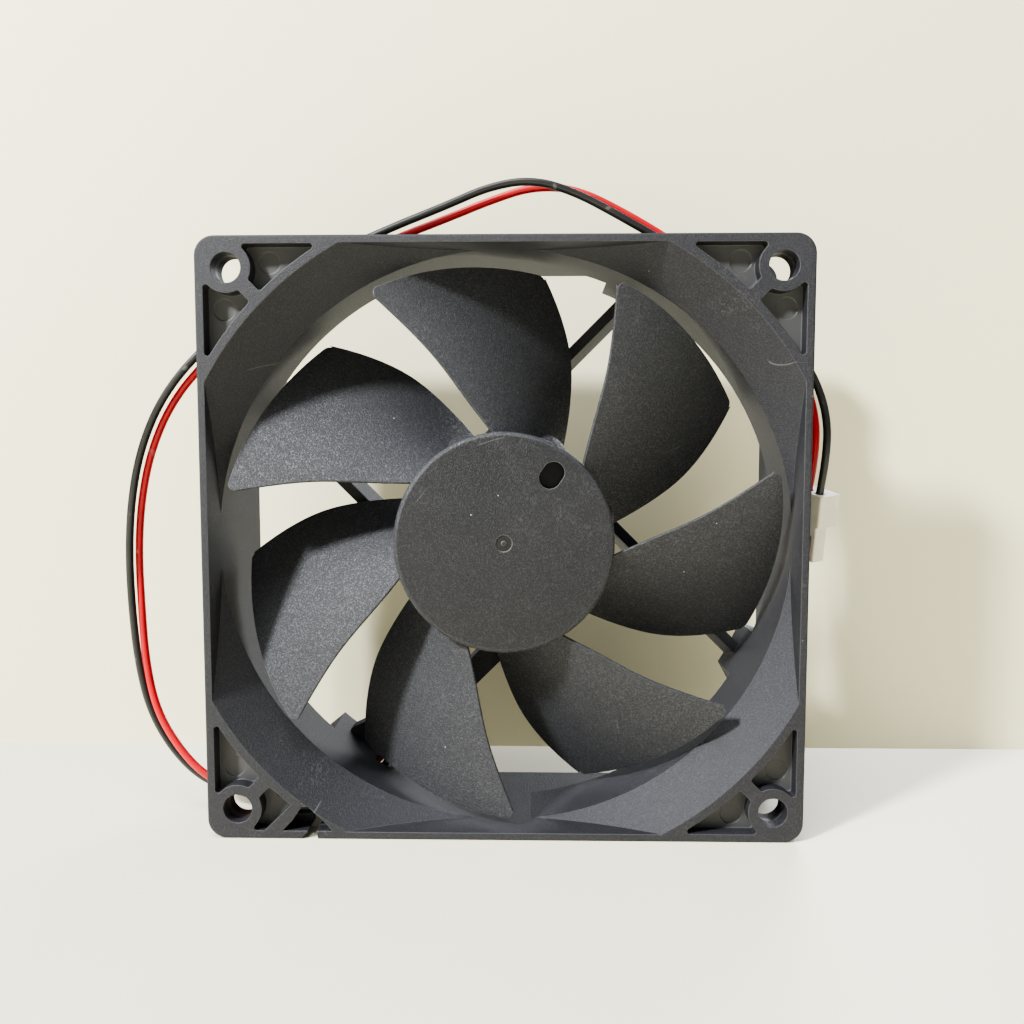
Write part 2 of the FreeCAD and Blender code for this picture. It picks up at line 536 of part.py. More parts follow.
def spider(name, label, outer, start, end, shoe_thick):
    """A ring on the bearing tube with four poles: the lamination stack or an insulator over it."""
    hub_part = ring(name + "_ring", "dims.core_ring_r", "dims.tube_r", start, end)
    arms = [hub_part]
    for pole in range(POLES):
        arm = block(f"{name}_arm_{pole}", f"({outer}) - dims.core_ring_r + 0.2", f"({end}) - ({start})",
                    "2 * dims.neck_half", "0", start, "0")
        turn = Rotation(Vector(0, 1, 0), pole * 360 / POLES)
        reach = Vector(size("core_ring_r") - 0.4, 0, -size("neck_half"))
        spot = turn.multVec(reach)
        arm.Placement = Placement(spot, turn)
        bind(arm, Placement__Base__x=str(spot.x), Placement__Base__y=start, Placement__Base__z=str(spot.z))
        shoe = doc.addObject("Part::Cylinder", f"{name}_shoe_{pole}")
        shoe.Placement = Placement(Vector(), turn.multiply(Rotation(Vector(1, 0, 0), -90)).multiply(
            Rotation(Vector(0, 0, 1), -size("shoe_half_angle"))))
        bind(shoe, Radius=outer, Height=f"({end}) - ({start})", Angle="2 * dims.shoe_half_angle",
             Placement__Base__y=start)
        arms.append(arm)
        arms.append(cut(f"{name}_tip_{pole}", shoe, rod(f"{name}_tip_in_{pole}", f"({outer}) - {shoe_thick}",
                                                         start, end)))
    return keep(fuse(name, *arms), label)


spider("core", "stator_core", "dims.core_r", depth_of(CORE_FRONT), depth_of(CORE_BACK), "dims.shoe_thick")
spider("cap_front", "insulator_front", "dims.core_r - 0.3", "dims.core_front - dims.insulator - dims.thick / 2",
       depth_of(CORE_FRONT), "dims.shoe_thick")
spider("cap_rear", "insulator_rear", "dims.core_r - 0.3", depth_of(CORE_BACK),
       "dims.core_back + dims.insulator - dims.thick / 2", "dims.shoe_thick")

# One winding round each pole, over both insulators.
coil_front = depth(size("core_front") - size("insulator"))
coil_back = depth(size("core_back") + size("insulator"))
coil_outside = Part.makeBox(size("coil_far") - size("coil_near"), coil_back - coil_front + 2 * size("coil_build"),
                            2 * (size("neck_half") + size("coil_side")),
                            Vector(size("coil_near"), coil_front - size("coil_build"),
                                   -size("neck_half") - size("coil_side")))
coil_outside = coil_outside.makeFillet(1.2, [edge for edge in coil_outside.Edges
                                             if edge.BoundBox.XLength > 1 and edge.BoundBox.ZLength < 0.1
                                             and edge.BoundBox.YLength < 0.1])
coil_inside = Part.makeBox(size("coil_far"), coil_back - coil_front, 2 * size("neck_half"),
                           Vector(0, coil_front, -size("neck_half")))
for pole in range(POLES):
    coil = shaped(f"coil_body_{pole}", coil_outside.cut(coil_inside))
    coil.Placement = Placement(Vector(), Rotation(Vector(0, 1, 0), pole * 360 / POLES))
    keep(coil, f"coil_{pole + 1}")

# Four square posts in the rear insulator carry the winding ends to the board.
PIN_R, PIN_SIDE = 10.9, 0.6
pin_front = depth(size("core_back") + size("insulator"))
pin_back = depth(size("board_front") + size("board_thick") + 0.6)
post_places = [Rotation(Vector(0, 1, 0), turn) for turn in (27, 117, 207, 297)]
terminal_posts = []
for turn in post_places:
    post = Part.makeBox(PIN_SIDE, pin_back - pin_front, PIN_SIDE, Vector(PIN_R, pin_front, -PIN_SIDE / 2))
    terminal_posts.append(post.transformGeometry(Placement(Vector(), turn).toMatrix()))
keep(shaped("pins", Part.makeCompound(terminal_posts)), "terminal_pins")

board_disc = Part.makeCylinder(size("board_r"), size("board_thick"), Vector(0, depth(size("board_front")), 0),
                               Vector(0, 1, 0))
board_cuts = [Part.makeCylinder(size("post_r"), 4, Vector(0, depth(size("board_front")) - 1, 0), Vector(0, 1, 0))]
board_shape = board_disc.cut(board_cuts + terminal_posts)
keep(shaped("board", board_shape), "circuit_board")


def board_chip(name, label, radius, turn, wide, long, tall):
    """A small component soldered to the front of the board."""
    body = Part.makeBox(wide, tall, long, Vector(radius - wide / 2, depth(size("board_front")) - tall, -long / 2))
    body = body.makeChamfer(0.12, [edge for edge in body.Edges if edge.BoundBox.YMax < depth(size("board_front")) - tall / 2])
    chip = shaped(name, body)
    chip.Placement = Placement(Vector(), Rotation(Vector(0, 1, 0), turn))
    return keep(chip, label)


board_chip("chip_driver", "driver_chip", 10.6, 72, 3.9, 4.9, 1.3)
board_chip("chip_hall", "hall_sensor", 13.4, 155, 1.6, 2.9, 1.1)
board_chip("chip_capacitor", "capacitor", 10.6, -25, 1.25, 2.0, 1.2)
board_chip("chip_diode", "diode", 10.2, -95, 1.6, 2.7, 1.1)
board_chip("chip_resistor", "resistor", 10.4, 245, 0.8, 1.6, 0.5)


# ------------------------------------------------------------------------------- leads and cords
def cord_path(points):
    """Straight runs joined by arcs as large as the runs allow; gives the wire and the arc radii."""
    edges, radii, start = [], [], points[0]
    for before, corner, after in zip(points, points[1:], points[2:]):
        come, leave = (corner - before), (after - corner)
        half_turn = come.getAngle(leave) / 2
        trim = 0.45 * min(come.Length, leave.Length)
        radii.append(trim / math.tan(half_turn))
        first = corner - come.normalize() * trim
        last = corner + leave.normalize() * trim
        inward = (leave - come).normalize()
        middle = corner + inward * (radii[-1] / math.cos(half_turn) - radii[-1])
        edges += [Part.LineSegment(start, first).toShape(), Part.Arc(first, middle, last).toShape()]
        start = last
    edges.append(Part.LineSegment(start, points[-1]).toShape())
    return Part.Wire(edges), radii


def cord_tube(name, label, points):
    """The round tube of one insulated wire along its route."""
    path, radii = cord_path(points)
    radius = size("lead_d") / 2
    section = Part.Wire([Part.makeCircle(radius, points[0], points[1] - points[0])])
    tube = path.makePipeShell([section], True, True)
    expected = math.pi * radius ** 2 * path.Length
    print(f"{label}: length {path.Length:.1f} mm, tube volume {tube.Volume:.1f} of {expected:.1f} mm3,"
          f" arc radii {min(radii):.1f} to {max(radii):.1f} mm:", [round(value, 1) for value in radii])
    return keep(shaped(name, tube), label)


# Both leads leave their solder joints, lie side by side in the channel and turn forward through the
# window, where the free wires go on in the same direction.
HELD_STATIONS = [(4.6, 20.75), (8.6, 21.9), (14.0, 22.15), (22.0, 22.05), (30.0, 22.15), (37.0, 22.1),
                 (42.2, 22.15)]
WINDOW_STATION = (47.0, 18.9)


def lead_start(side):
    """Points of one lead in the channel, the joint with its free wire and the first free corner."""
    offset = size("guide_offset") + side * size("lead_gap") / 2
    held = [strut_point(LEAD_STRUT, offset, run, behind) for run, behind in HELD_STATIONS]
    corner = strut_point(LEAD_STRUT, offset, *WINDOW_STATION)
    joint = (held[-1] + corner) / 2
    return held + [joint], [joint, corner]


# Free routes as (X, depth, Z).  Both wires run forward in the gap between the flanges, come out at
# the left, rise beside the frame, pass through the upper left gap, arch over the top, pass through
# the upper right gap and hang to the connector.
BLACK_ROUTE = [
    (-27.2, 15.4, -43.8), (-33.0, 12.8, -44.5), (-39.2, 11.2, -44.6), (-45.2, 10.6, -42.7),
    (-51.0, 10.8, -40.6), (-56.0, 11.4, -35.9), (-59.9, 12.0, -29.4), (-61.9, 12.5, -21.2),
    (-62.8, 12.8, -12.0), (-63.0, 12.8, -3.0), (-62.3, 12.7, 6.0), (-60.3, 12.5, 14.8),
    (-56.5, 12.3, 22.9), (-50.6, 12.1, 29.8), (-43.0, 12.0, 35.8), (-35.0, 11.9, 41.4),
    (-26.4, 11.8, 46.4), (-17.6, 11.6, 50.1), (-9.4, 11.4, 53.2), (-2.6, 11.4, 56.1),
    (4.2, 11.5, 57.2), (11.0, 11.8, 55.4), (19.0, 12.0, 51.2), (27.2, 12.2, 46.6),
    (35.2, 12.4, 41.4), (42.6, 12.6, 35.2), (48.6, 12.5, 28.8), (51.8, 11.9, 21.4), (52.0, 10.9, 14.0)]
RED_ROUTE = [
    (-28.2, 14.4, -42.3), (-33.6, 11.4, -43.6), (-39.4, 9.7, -43.9), (-45.0, 9.2, -41.9),
    (-50.3, 9.6, -39.5), (-54.9, 10.4, -34.8), (-58.6, 11.3, -28.8), (-60.5, 12.3, -20.9),
    (-61.5, 13.6, -12.0), (-61.9, 14.0, -3.0), (-61.2, 14.0, 5.8), (-59.2, 13.8, 14.2),
    (-55.5, 13.6, 22.0), (-49.8, 13.5, 28.7), (-42.4, 13.4, 34.6), (-34.5, 13.3, 40.1),
    (-26.0, 13.3, 45.1), (-17.2, 13.3, 48.8), (-9.2, 13.4, 51.8), (-2.4, 13.7, 54.6),
    (4.4, 13.9, 56.8), (11.4, 13.8, 56.4), (19.4, 13.6, 52.5), (27.5, 13.7, 47.7),
    (35.2, 13.9, 42.3), (42.2, 14.1, 35.6), (47.7, 14.3, 28.9), (50.6, 14.2, 21.8), (51.1, 13.4, 14.6)]

# The connector hangs by its wires, leaning a little forward at the top and turned so that its two
# ways lie one behind the other.
BLACK_ENTRY = Vector(51.3, depth(12.4), 7.1)
PLUG_UP = Vector(0, -0.24, 0.97)
PLUG_ROW = Vector(-0.4, 0.917, 0)
WAY_BACK = 0.8
plug_turn = Rotation(PLUG_ROW, Vector(), PLUG_UP, "ZXY")
first_way = Vector(-size("contact_pitch") / 2, WAY_BACK, 0)
second_way = Vector(size("contact_pitch") / 2, WAY_BACK, 0)
plug_place = Placement(BLACK_ENTRY - plug_turn.multVec(first_way), plug_turn)

SOLDER_CONE = (0.7, 0.5, 1.3)
solder = []
for lead, side, route, way in (("black", 1, BLACK_ROUTE, first_way), ("red", -1, RED_ROUTE, second_way)):
    held, free = lead_start(side)
    free += [Vector(x, depth(behind), z) for x, behind, z in route] + [plug_place.multVec(way)]
    held_tube = cord_tube(f"{lead}_held", f"{lead}_lead_inner", held)
    cord_tube(f"{lead}_free", f"{lead}_wire", free)
    joint_base = Vector(held[0].x, depth(size("board_front") + size("board_thick")), held[0].z)
    blob = Part.makeCone(*SOLDER_CONE, joint_base, Vector(0, 1, 0))
    solder.append(blob.cut(held_tube.Shape))
keep(shaped("solder", Part.makeCompound(solder)), "solder_joints")

# Connector: a head with a lip, a slimmer nose, two cavities that open at both ends, and a crimp
# contact that fills each cavity above the nose.
HEAD_HALF_THICK, NOSE_OUTER, NOSE_WIDE = 2.0, -0.4, 5.2
CAVITY, CONTACT_LONG, CONTACT_DROP = 1.5, 7.6, 0.9
head = Part.makeBox(size("plug_wide"), 2 * HEAD_HALF_THICK, size("plug_head"),
                    Vector(-size("plug_wide") / 2, -HEAD_HALF_THICK, -size("plug_head")))
nose = Part.makeBox(NOSE_WIDE, HEAD_HALF_THICK - NOSE_OUTER, size("plug_long"),
                    Vector(-NOSE_WIDE / 2, NOSE_OUTER, -size("plug_long")))
plug = head.fuse(nose).removeSplitter()
plug = plug.makeFillet(0.3, [edge for edge in plug.Edges if edge.BoundBox.ZLength > 1])
contacts = []
for way in (first_way, second_way):
    cavity = Part.makeBox(CAVITY, CAVITY, size("plug_long") + 2,
                          way - Vector(CAVITY / 2, CAVITY / 2, size("plug_long") + 1))
    window = Part.makeBox(CAVITY * 0.7, 3, 2.4, way + Vector(-CAVITY * 0.35, 0, -9.4))
    plug = plug.cut([cavity, window])
    lowest = CONTACT_LONG + CONTACT_DROP
    contact = Part.makeBox(CAVITY, CAVITY, CONTACT_LONG, way - Vector(CAVITY / 2, CAVITY / 2, lowest))
    slit = Part.makeBox(0.5, CAVITY, 3.2, way - Vector(0.25, CAVITY / 2, lowest + 0.1))
    contacts.append(contact.cut(slit))
for name, label, shape in (("plug", "connector_housing", plug),
                           ("contacts", "crimp_contacts", Part.makeCompound(contacts))):
    piece = keep(shaped(name, shape), label)
    piece.Placement = plug_place

# --------------------------------------------------------------------------------- check and write
doc.recompute()
for thing in doc.Objects:
    if {"Invalid", "Error"} & set(thing.State):
        raise RuntimeError(f"{thing.Name} failed: {thing.State}")
os.makedirs("parts", exist_ok=True)
whole = FreeCAD.BoundBox()
for piece in parts:
    shape = piece.Shape
    if shape.isNull() or not shape.isValid() or shape.Volume <= 0:
        raise RuntimeError(f"{piece.Label} has no valid solid")
    whole.add(shape.BoundBox)
    shape.exportStep(os.path.join("parts", piece.Label + ".step"))
    print(f"{piece.Label}: {len(shape.Solids)} solid(s), {shape.Volume:.1f} mm3")
print(f"{len(parts)} nodes, {whole.XLength:.2f} x {whole.YLength:.2f} x {whole.ZLength:.2f} mm,"
      f" lowest point {whole.ZMin:.2f}")
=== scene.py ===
import bmesh
import bpy
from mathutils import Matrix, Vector


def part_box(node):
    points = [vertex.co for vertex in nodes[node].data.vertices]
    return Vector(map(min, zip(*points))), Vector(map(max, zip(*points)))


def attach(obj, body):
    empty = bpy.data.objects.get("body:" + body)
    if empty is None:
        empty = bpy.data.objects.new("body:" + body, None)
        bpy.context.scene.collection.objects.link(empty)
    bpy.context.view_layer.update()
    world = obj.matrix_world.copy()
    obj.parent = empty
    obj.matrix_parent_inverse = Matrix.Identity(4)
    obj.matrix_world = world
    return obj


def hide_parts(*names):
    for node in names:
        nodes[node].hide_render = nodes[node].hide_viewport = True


# Case fan on its lower edges, seen from the inlet side.  Metres, origin on the rotor axis half way
# through the housing, -Y is the inlet, +Z is up.
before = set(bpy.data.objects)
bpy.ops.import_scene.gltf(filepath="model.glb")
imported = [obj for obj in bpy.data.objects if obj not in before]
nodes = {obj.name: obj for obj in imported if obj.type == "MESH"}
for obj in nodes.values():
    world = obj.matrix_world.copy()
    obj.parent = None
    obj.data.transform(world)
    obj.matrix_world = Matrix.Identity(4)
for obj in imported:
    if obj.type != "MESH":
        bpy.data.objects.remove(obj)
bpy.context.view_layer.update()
front_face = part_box("frame")[0][1]
floor_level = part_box("frame")[0][2]

# ------------------------------------------------------------------------------------------- camera
# The camera stands close in front of the inlet, a little above the axis, and looks slightly down.
camera_data = bpy.data.cameras.new("camera")
camera_data.sensor_width = 36.0
camera_data.lens = 30.23
camera_data.clip_start = 0.005
camera = bpy.data.objects.new("camera", camera_data)
bpy.context.collection.objects.link(camera)
camera.location = (0.0038, -0.14158, 0.01411)
camera.rotation_euler = Vector((-0.0194, 1.0, -0.0712)).to_track_quat("-Z", "Y").to_euler()
bpy.context.scene.camera = camera


# -------------------------------------------------------------------------------------- paint maker
class Value:
    """A shader socket that takes part in sums, so that a mask reads as an expression."""

    def __init__(self, paint, socket):
        self.paint = paint
        self.socket = socket

    def _maths(self, operation, first, second):
        return self.paint.node("ShaderNodeMath", {"operation": operation}, {0: first, 1: second})

    def __add__(self, other):
        return self._maths("ADD", self, other)

    def __radd__(self, other):
        return self._maths("ADD", other, self)

    def __sub__(self, other):
        return self._maths("SUBTRACT", self, other)

    def __rsub__(self, other):
        return self._maths("SUBTRACT", other, self)

    def __mul__(self, other):
        return self._maths("MULTIPLY", self, other)

    def __rmul__(self, other):
        return self._maths("MULTIPLY", other, self)

    def __truediv__(self, other):
        return self._maths("DIVIDE", self, other)

    def __pow__(self, other):
        return self._maths("POWER", self, other)

    def __abs__(self):
        return self.paint.node("ShaderNodeMath", {"operation": "ABSOLUTE"}, {0: self})

    def rise(self, start, end):
        """0 below start, 1 above end, smooth between; the other way round if end is the lower."""
        settings = {"interpolation_type": "SMOOTHSTEP", "clamp": True}
        return self.paint.node("ShaderNodeMapRange", settings, {0: self, 1: start, 2: end, 3: 0.0, 4: 1.0})


class Paint:
    def __init__(self, name, **constants):
        self.material = bpy.data.materials.new(name)
        self.material.use_nodes = True
        self.tree = self.material.node_tree
        self.shader = self.tree.nodes["Principled BSDF"]
        for socket, value in constants.items():
            self.shader.inputs[socket.replace("_", " ")].default_value = value
        self.place = self.node("ShaderNodeTexCoord", {}, {}, "Object")

    def node(self, kind, settings, inputs, out=0):
        item = self.tree.nodes.new(kind)
        for name, value in settings.items():
            setattr(item, name, value)
        for key, value in inputs.items():
            if isinstance(value, Value):
                self.tree.links.new(value.socket, item.inputs[key])
            else:
                item.inputs[key].default_value = value
        return Value(self, item.outputs[out])

    def noise(self, scale, detail=2.0, roughness=0.5, place=None):
        """Cloudy noise of about 1 / scale metres, between 0 and 1."""
        inputs = {"Vector": place or self.place, "Scale": scale, "Detail": detail, "Roughness": roughness}
        return self.node("ShaderNodeTexNoise", {}, inputs)

    def cells(self, scale, out="Distance"):
        """Cells 1 / scale metres wide: the distance from a cell's seed, or a colour per cell."""
        return self.node("ShaderNodeTexVoronoi", {}, {"Vector": self.place, "Scale": scale}, out)

    def grey(self, colour):
        return self.node("ShaderNodeSeparateColor", {}, {"Color": colour}, "Red")

    def axis(self, name):
        return self.node("ShaderNodeSeparateXYZ", {}, {"Vector": self.place}, name)

    def blend(self, factor, first, second):
        """A colour between two, by factor."""
        return self.node("ShaderNodeMix", {"data_type": "RGBA"}, {0: factor, 6: first, 7: second}, 2)

    def rounded(self, radius):
        """The normal that sharp edges would have if they were rounded."""
        return self.node("ShaderNodeBevel", {"samples": 6}, {"Radius": radius})

    def bump(self, height, strength, distance, normal=None):
        inputs = {"Strength": strength, "Distance": distance, "Height": height}
        if normal:
            inputs["Normal"] = normal
        return self.node("ShaderNodeBump", {}, inputs)

    def finish(self, **links):
        for name, value in links.items():
            self.tree.links.new(value.socket, self.shader.inputs[name.replace("_", " ")])
        return self.material


def dress(name, material):
    """Gives a CAD piece its finish."""
    mesh = nodes[name].data
    mesh.materials.clear()
    mesh.materials.append(material)


# ------------------------------------------------------------------------------------------- wires
# Two single wires of stranded copper in smooth PVC, red for supply and black for ground.  They leave
# the housing through its lower left corner gap and go round the outside between the flanges.
WIRE_D = 0.00125
BLACK_ROUTE = [
    (-0.02164, 0.00782, -0.04144), (-0.02333, 0.0062, -0.04313),
    (-0.0272, 0.0027, -0.0438), (-0.0330, 0.0001, -0.0445), (-0.0392, -0.0015, -0.0446),
    (-0.0452, -0.0021, -0.0427), (-0.0510, -0.0019, -0.0406), (-0.0560, -0.0013, -0.0359),
    (-0.0599, -0.0007, -0.0294), (-0.0619, -0.0002, -0.0212), (-0.0628, 0.0001, -0.0120),
    (-0.0630, 0.0001, -0.0030), (-0.0623, 0.0000, 0.0060), (-0.0603, -0.0002, 0.0148),
    (-0.0565, -0.0004, 0.0229), (-0.0506, -0.0006, 0.0298), (-0.0430, -0.0007, 0.0358),
    (-0.0350, -0.0008, 0.0414), (-0.0264, -0.0009, 0.0464), (-0.0176, -0.0011, 0.0501),
    (-0.0094, -0.0013, 0.0532), (-0.0026, -0.0013, 0.0561), (0.0042, -0.0012, 0.0572),
    (0.0110, -0.0009, 0.0554), (0.0190, -0.0007, 0.0512), (0.0272, -0.0005, 0.0466),
    (0.0352, -0.0003, 0.0414), (0.0426, -0.0001, 0.0352), (0.0486, -0.0002, 0.0288),
    (0.0518, -0.0008, 0.0214), (0.0520, -0.0018, 0.0140), (0.0513, -0.0003, 0.0071)]
RED_ROUTE = [
    (-0.02263, 0.00782, -0.04045), (-0.02432, 0.0062, -0.04214),
    (-0.0282, 0.0017, -0.0423), (-0.0336, -0.0013, -0.0436), (-0.0394, -0.0030, -0.0439),
    (-0.0450, -0.0035, -0.0419), (-0.0503, -0.0031, -0.0395), (-0.0549, -0.0023, -0.0348),
    (-0.0586, -0.0014, -0.0288), (-0.0605, -0.0004, -0.0209), (-0.0615, 0.0009, -0.0120),
    (-0.0619, 0.0013, -0.0030), (-0.0612, 0.0013, 0.0058), (-0.0592, 0.0011, 0.0142),
    (-0.0555, 0.0009, 0.0220), (-0.0498, 0.0008, 0.0287), (-0.0424, 0.0007, 0.0346),
    (-0.0345, 0.0006, 0.0401), (-0.0260, 0.0006, 0.0451), (-0.0172, 0.0006, 0.0488),
    (-0.0092, 0.0007, 0.0518), (-0.0024, 0.0010, 0.0546), (0.0044, 0.0012, 0.0568),
    (0.0114, 0.0011, 0.0564), (0.0194, 0.0009, 0.0525), (0.0275, 0.0010, 0.0477),
    (0.0352, 0.0012, 0.0423), (0.0422, 0.0014, 0.0356), (0.0477, 0.0016, 0.0289),
    (0.0506, 0.0015, 0.0218), (0.0511, 0.0007, 0.0146), (0.05028, 0.00191, 0.00765)]


def insulation(name, colour, dark):
    """Smooth PVC with faint handling marks and a trace of dust."""
    paint = Paint(name, IOR=1.5)
    marks = paint.noise(900.0, 3.0)
    long_marks = paint.noise(160.0, 2.0)
    dust = paint.grey(paint.cells(1400.0, "Color")).rise(0.975, 0.985) * paint.noise(300.0).rise(0.5, 0.62)
    shade = paint.blend(long_marks.rise(0.35, 0.7), colour, dark)
    shade = paint.blend(dust * 0.18, shade, (0.42, 0.4, 0.37, 1.0))
    return paint.finish(Base_Color=shade, Roughness=0.3 + 0.16 * marks + 0.25 * dust,
                        Normal=paint.bump(marks, 0.18, 0.00004))


def wire(name, route, material, replaced):
    """One smooth wire along its route, round in section."""
    curve = bpy.data.curves.new(name, "CURVE")
    curve.dimensions = "3D"
    curve.bevel_depth = WIRE_D / 2
    curve.bevel_resolution = 5
    curve.resolution_u = 10
    curve.use_fill_caps = True
    spline = curve.splines.new("NURBS")
    spline.points.add(len(route) - 1)
    for point, spot in zip(spline.points, route):
        point.co = (*spot, 1.0)
    spline.order_u = 3
    spline.use_endpoint_u = True
    curve.materials.append(material)
    piece = bpy.data.objects.new(name, curve)
    bpy.context.collection.objects.link(piece)
    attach(piece, "housing")
    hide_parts(replaced)
    return piece


black_pvc = insulation("black_insulation", (0.012, 0.012, 0.011, 1.0), (0.02, 0.02, 0.018, 1.0))
red_pvc = insulation("red_insulation", (0.5, 0.008, 0.013, 1.0), (0.4, 0.005, 0.01, 1.0))
black_cord = wire("wire_black", BLACK_ROUTE, black_pvc, "black_wire")
red_cord = wire("wire_red", RED_ROUTE, red_pvc, "red_wire")
dress("black_lead_inner", black_pvc)
dress("red_lead_inner", red_pvc)


# ------------------------------------------------------------------------------------------ housing
# The housing is one injection moulding in black glass-filled plastic.  Its outside has the fine spark
# grain of the mould, and the pocket floors with their ejector marks are smoother.
def grain_of(paint, fine, coarse):
    """The uneven height of a grained surface, between 0 and 1."""
    return 0.55 * paint.noise(fine, 2.0, 0.6) + 0.45 * paint.noise(coarse, 2.0, 0.55)


def specks_of(paint, spacing, share, size):
    """Specks of dust: some of the cells, spacing metres apart, hold one of this radius."""
    chosen = paint.grey(paint.cells(1 / spacing, "Color")).rise(1 - share, 1.02 - share)
    return paint.cells(1 / spacing).rise(size / spacing, 0.5 * size / spacing) * chosen


def fibres_of(paint):
    """A few fine hairs and scratches: thin contour lines of a slow noise, kept only in places."""
    return abs(paint.noise(31.0, 0.0) - 0.5).rise(0.0012, 0.0006) * paint.noise(120.0, 1.0).rise(0.62, 0.68)


def edge_highlight_of(paint, edge_normal):
    """1 on sharp edges: the mask for a painted edge highlight, where the roughness is also lowered."""
    true_normal = paint.node("ShaderNodeNewGeometry", {}, {}, "Normal")
    settings, pair = {"operation": "DOT_PRODUCT"}, {0: edge_normal, 1: true_normal}
    turn = paint.node("ShaderNodeVectorMath", settings, pair, "Value")
    return turn.rise(0.995, 0.9)


paint = Paint("frame_plastic", IOR=1.46)
x, z = paint.axis("X"), paint.axis("Z")
radius = (x * x + z * z) ** 0.5
below_rim = -front_face - abs(paint.axis("Y"))
POCKET_HALF, POCKET_R, POCKET_FROM, POCKET_TO, SOFT = 0.0453, 0.0523, 0.0022, 0.0033, 0.0001
inside_x = abs(x).rise(POCKET_HALF + SOFT, POCKET_HALF - SOFT)
inside_z = abs(z).rise(POCKET_HALF + SOFT, POCKET_HALF - SOFT)
outside_duct = radius.rise(POCKET_R - SOFT, POCKET_R + SOFT)
deep_enough = below_rim.rise(POCKET_FROM - SOFT, POCKET_FROM + SOFT)
not_too_deep = below_rim.rise(POCKET_TO + SOFT, POCKET_TO - SOFT)
pocket_floor = inside_x * inside_z * outside_duct * deep_enough * not_too_deep
grain = grain_of(paint, 6600.0, 3800.0)
cloud = paint.noise(38.0, 3.0)
scuffs = paint.noise(95.0, 4.0, 0.7).rise(0.56, 0.7) * paint.noise(1900.0, 2.0).rise(0.5, 0.64)
dust = specks_of(paint, 0.0046, 0.26, 0.00013)
fibres = fibres_of(paint)
edge_normal = paint.rounded(0.00024)
edge_highlight = edge_highlight_of(paint, edge_normal)
shade = paint.blend(cloud.rise(0.3, 0.7), (0.0115, 0.0115, 0.0155, 1.0), (0.0165, 0.0165, 0.0205, 1.0))
shade = paint.blend(grain.rise(0.46, 0.62) * 0.6, shade, (0.042, 0.042, 0.046, 1.0))
shade = paint.blend(pocket_floor, shade, (0.065, 0.065, 0.065, 1.0))
shade = paint.blend(scuffs * 0.12, shade, (0.16, 0.16, 0.155, 1.0))
# Sharp edges lightened towards pale grey: a painted highlight.
shade = paint.blend(edge_highlight * 0.45, shade, (0.1, 0.1, 0.1, 1.0))
shade = paint.blend(dust * 0.5 + fibres * 0.09, shade, (0.62, 0.6, 0.56, 1.0))
rough = 0.52 + 0.12 * cloud - 0.1 * edge_highlight + 0.2 * dust - 0.08 * pocket_floor
relief = paint.bump(grain * (1 - 0.8 * pocket_floor), 1.0, 0.00014, edge_normal)
dress("frame", paint.finish(Base_Color=shade, Roughness=rough, Normal=relief))

# ----------------------------------------------------------------------------------------- impeller
# Hub and seven swept blades in one moulding.  The hub's face is scuffed and fairly dark, and the
# blades have a coarser grain that glitters in the light, with painted glints as light bluish specks.
paint = Paint("rotor_plastic", IOR=1.5)
x, depth_at, z = paint.axis("X"), paint.axis("Y"), paint.axis("Z")
radius = (x * x + z * z) ** 0.5
HUB_EDGE, GATE_R, GATE_FRONT, GATE_BACK = 0.0165, 0.0013, -0.01114, -0.0105
blades = radius.rise(HUB_EDGE - 0.0003, HUB_EDGE + 0.0003)
behind_rim = depth_at.rise(GATE_FRONT - 0.00004, GATE_FRONT + 0.00004)
before_floor = depth_at.rise(GATE_BACK + SOFT, GATE_BACK - SOFT)
gate_recess_shade = radius.rise(GATE_R + SOFT, GATE_R - SOFT) * behind_rim * before_floor
grain = grain_of(paint, 6400.0, 3600.0)
glint_specks = paint.grey(paint.cells(5600.0, "Color")).rise(0.62, 1.0) * blades
cloud = paint.noise(60.0, 3.0)
scuffs = paint.noise(120.0, 4.0, 0.72).rise(0.52, 0.68) * paint.noise(1700.0, 2.0).rise(0.46, 0.62)
dust = specks_of(paint, 0.0042, 0.3, 0.00014)
fibres = fibres_of(paint)
edge_normal = paint.rounded(0.00022)
edge_highlight = edge_highlight_of(paint, edge_normal)
shade = paint.blend(cloud.rise(0.3, 0.7), (0.003, 0.003, 0.0055, 1.0), (0.006, 0.006, 0.0085, 1.0))
shade = paint.blend(blades, shade, (0.017, 0.0175, 0.0205, 1.0))
shade = paint.blend(grain.rise(0.47, 0.62) * (0.35 + 0.4 * blades), shade, (0.05, 0.051, 0.057, 1.0))
# Light bluish specks on the blades: a painted glint of the grain catching the light; the same specks are
# also smoother.
shade = paint.blend(glint_specks * 0.04, shade, (0.5, 0.52, 0.58, 1.0))
# The inside of the gate mark's recess painted near black: painted shade.
shade = paint.blend(gate_recess_shade * 0.8, shade, (0.003, 0.003, 0.003, 1.0))
shade = paint.blend(scuffs * 0.08, shade, (0.2, 0.2, 0.195, 1.0))
# Sharp edges lightened towards pale grey: a painted highlight.
shade = paint.blend(edge_highlight * 0.6, shade, (0.14, 0.14, 0.14, 1.0))
shade = paint.blend(dust * 0.6 + fibres * 0.08, shade, (0.66, 0.64, 0.6, 1.0))
rough = 0.4 + 0.24 * blades + 0.08 * cloud - 0.34 * glint_specks - 0.1 * edge_highlight + 0.2 * dust
relief = paint.bump(grain, 0.8 + 0.2 * blades, 0.00016, edge_normal)
dress("impeller", paint.finish(Base_Color=shade, Roughness=rough, Normal=relief))


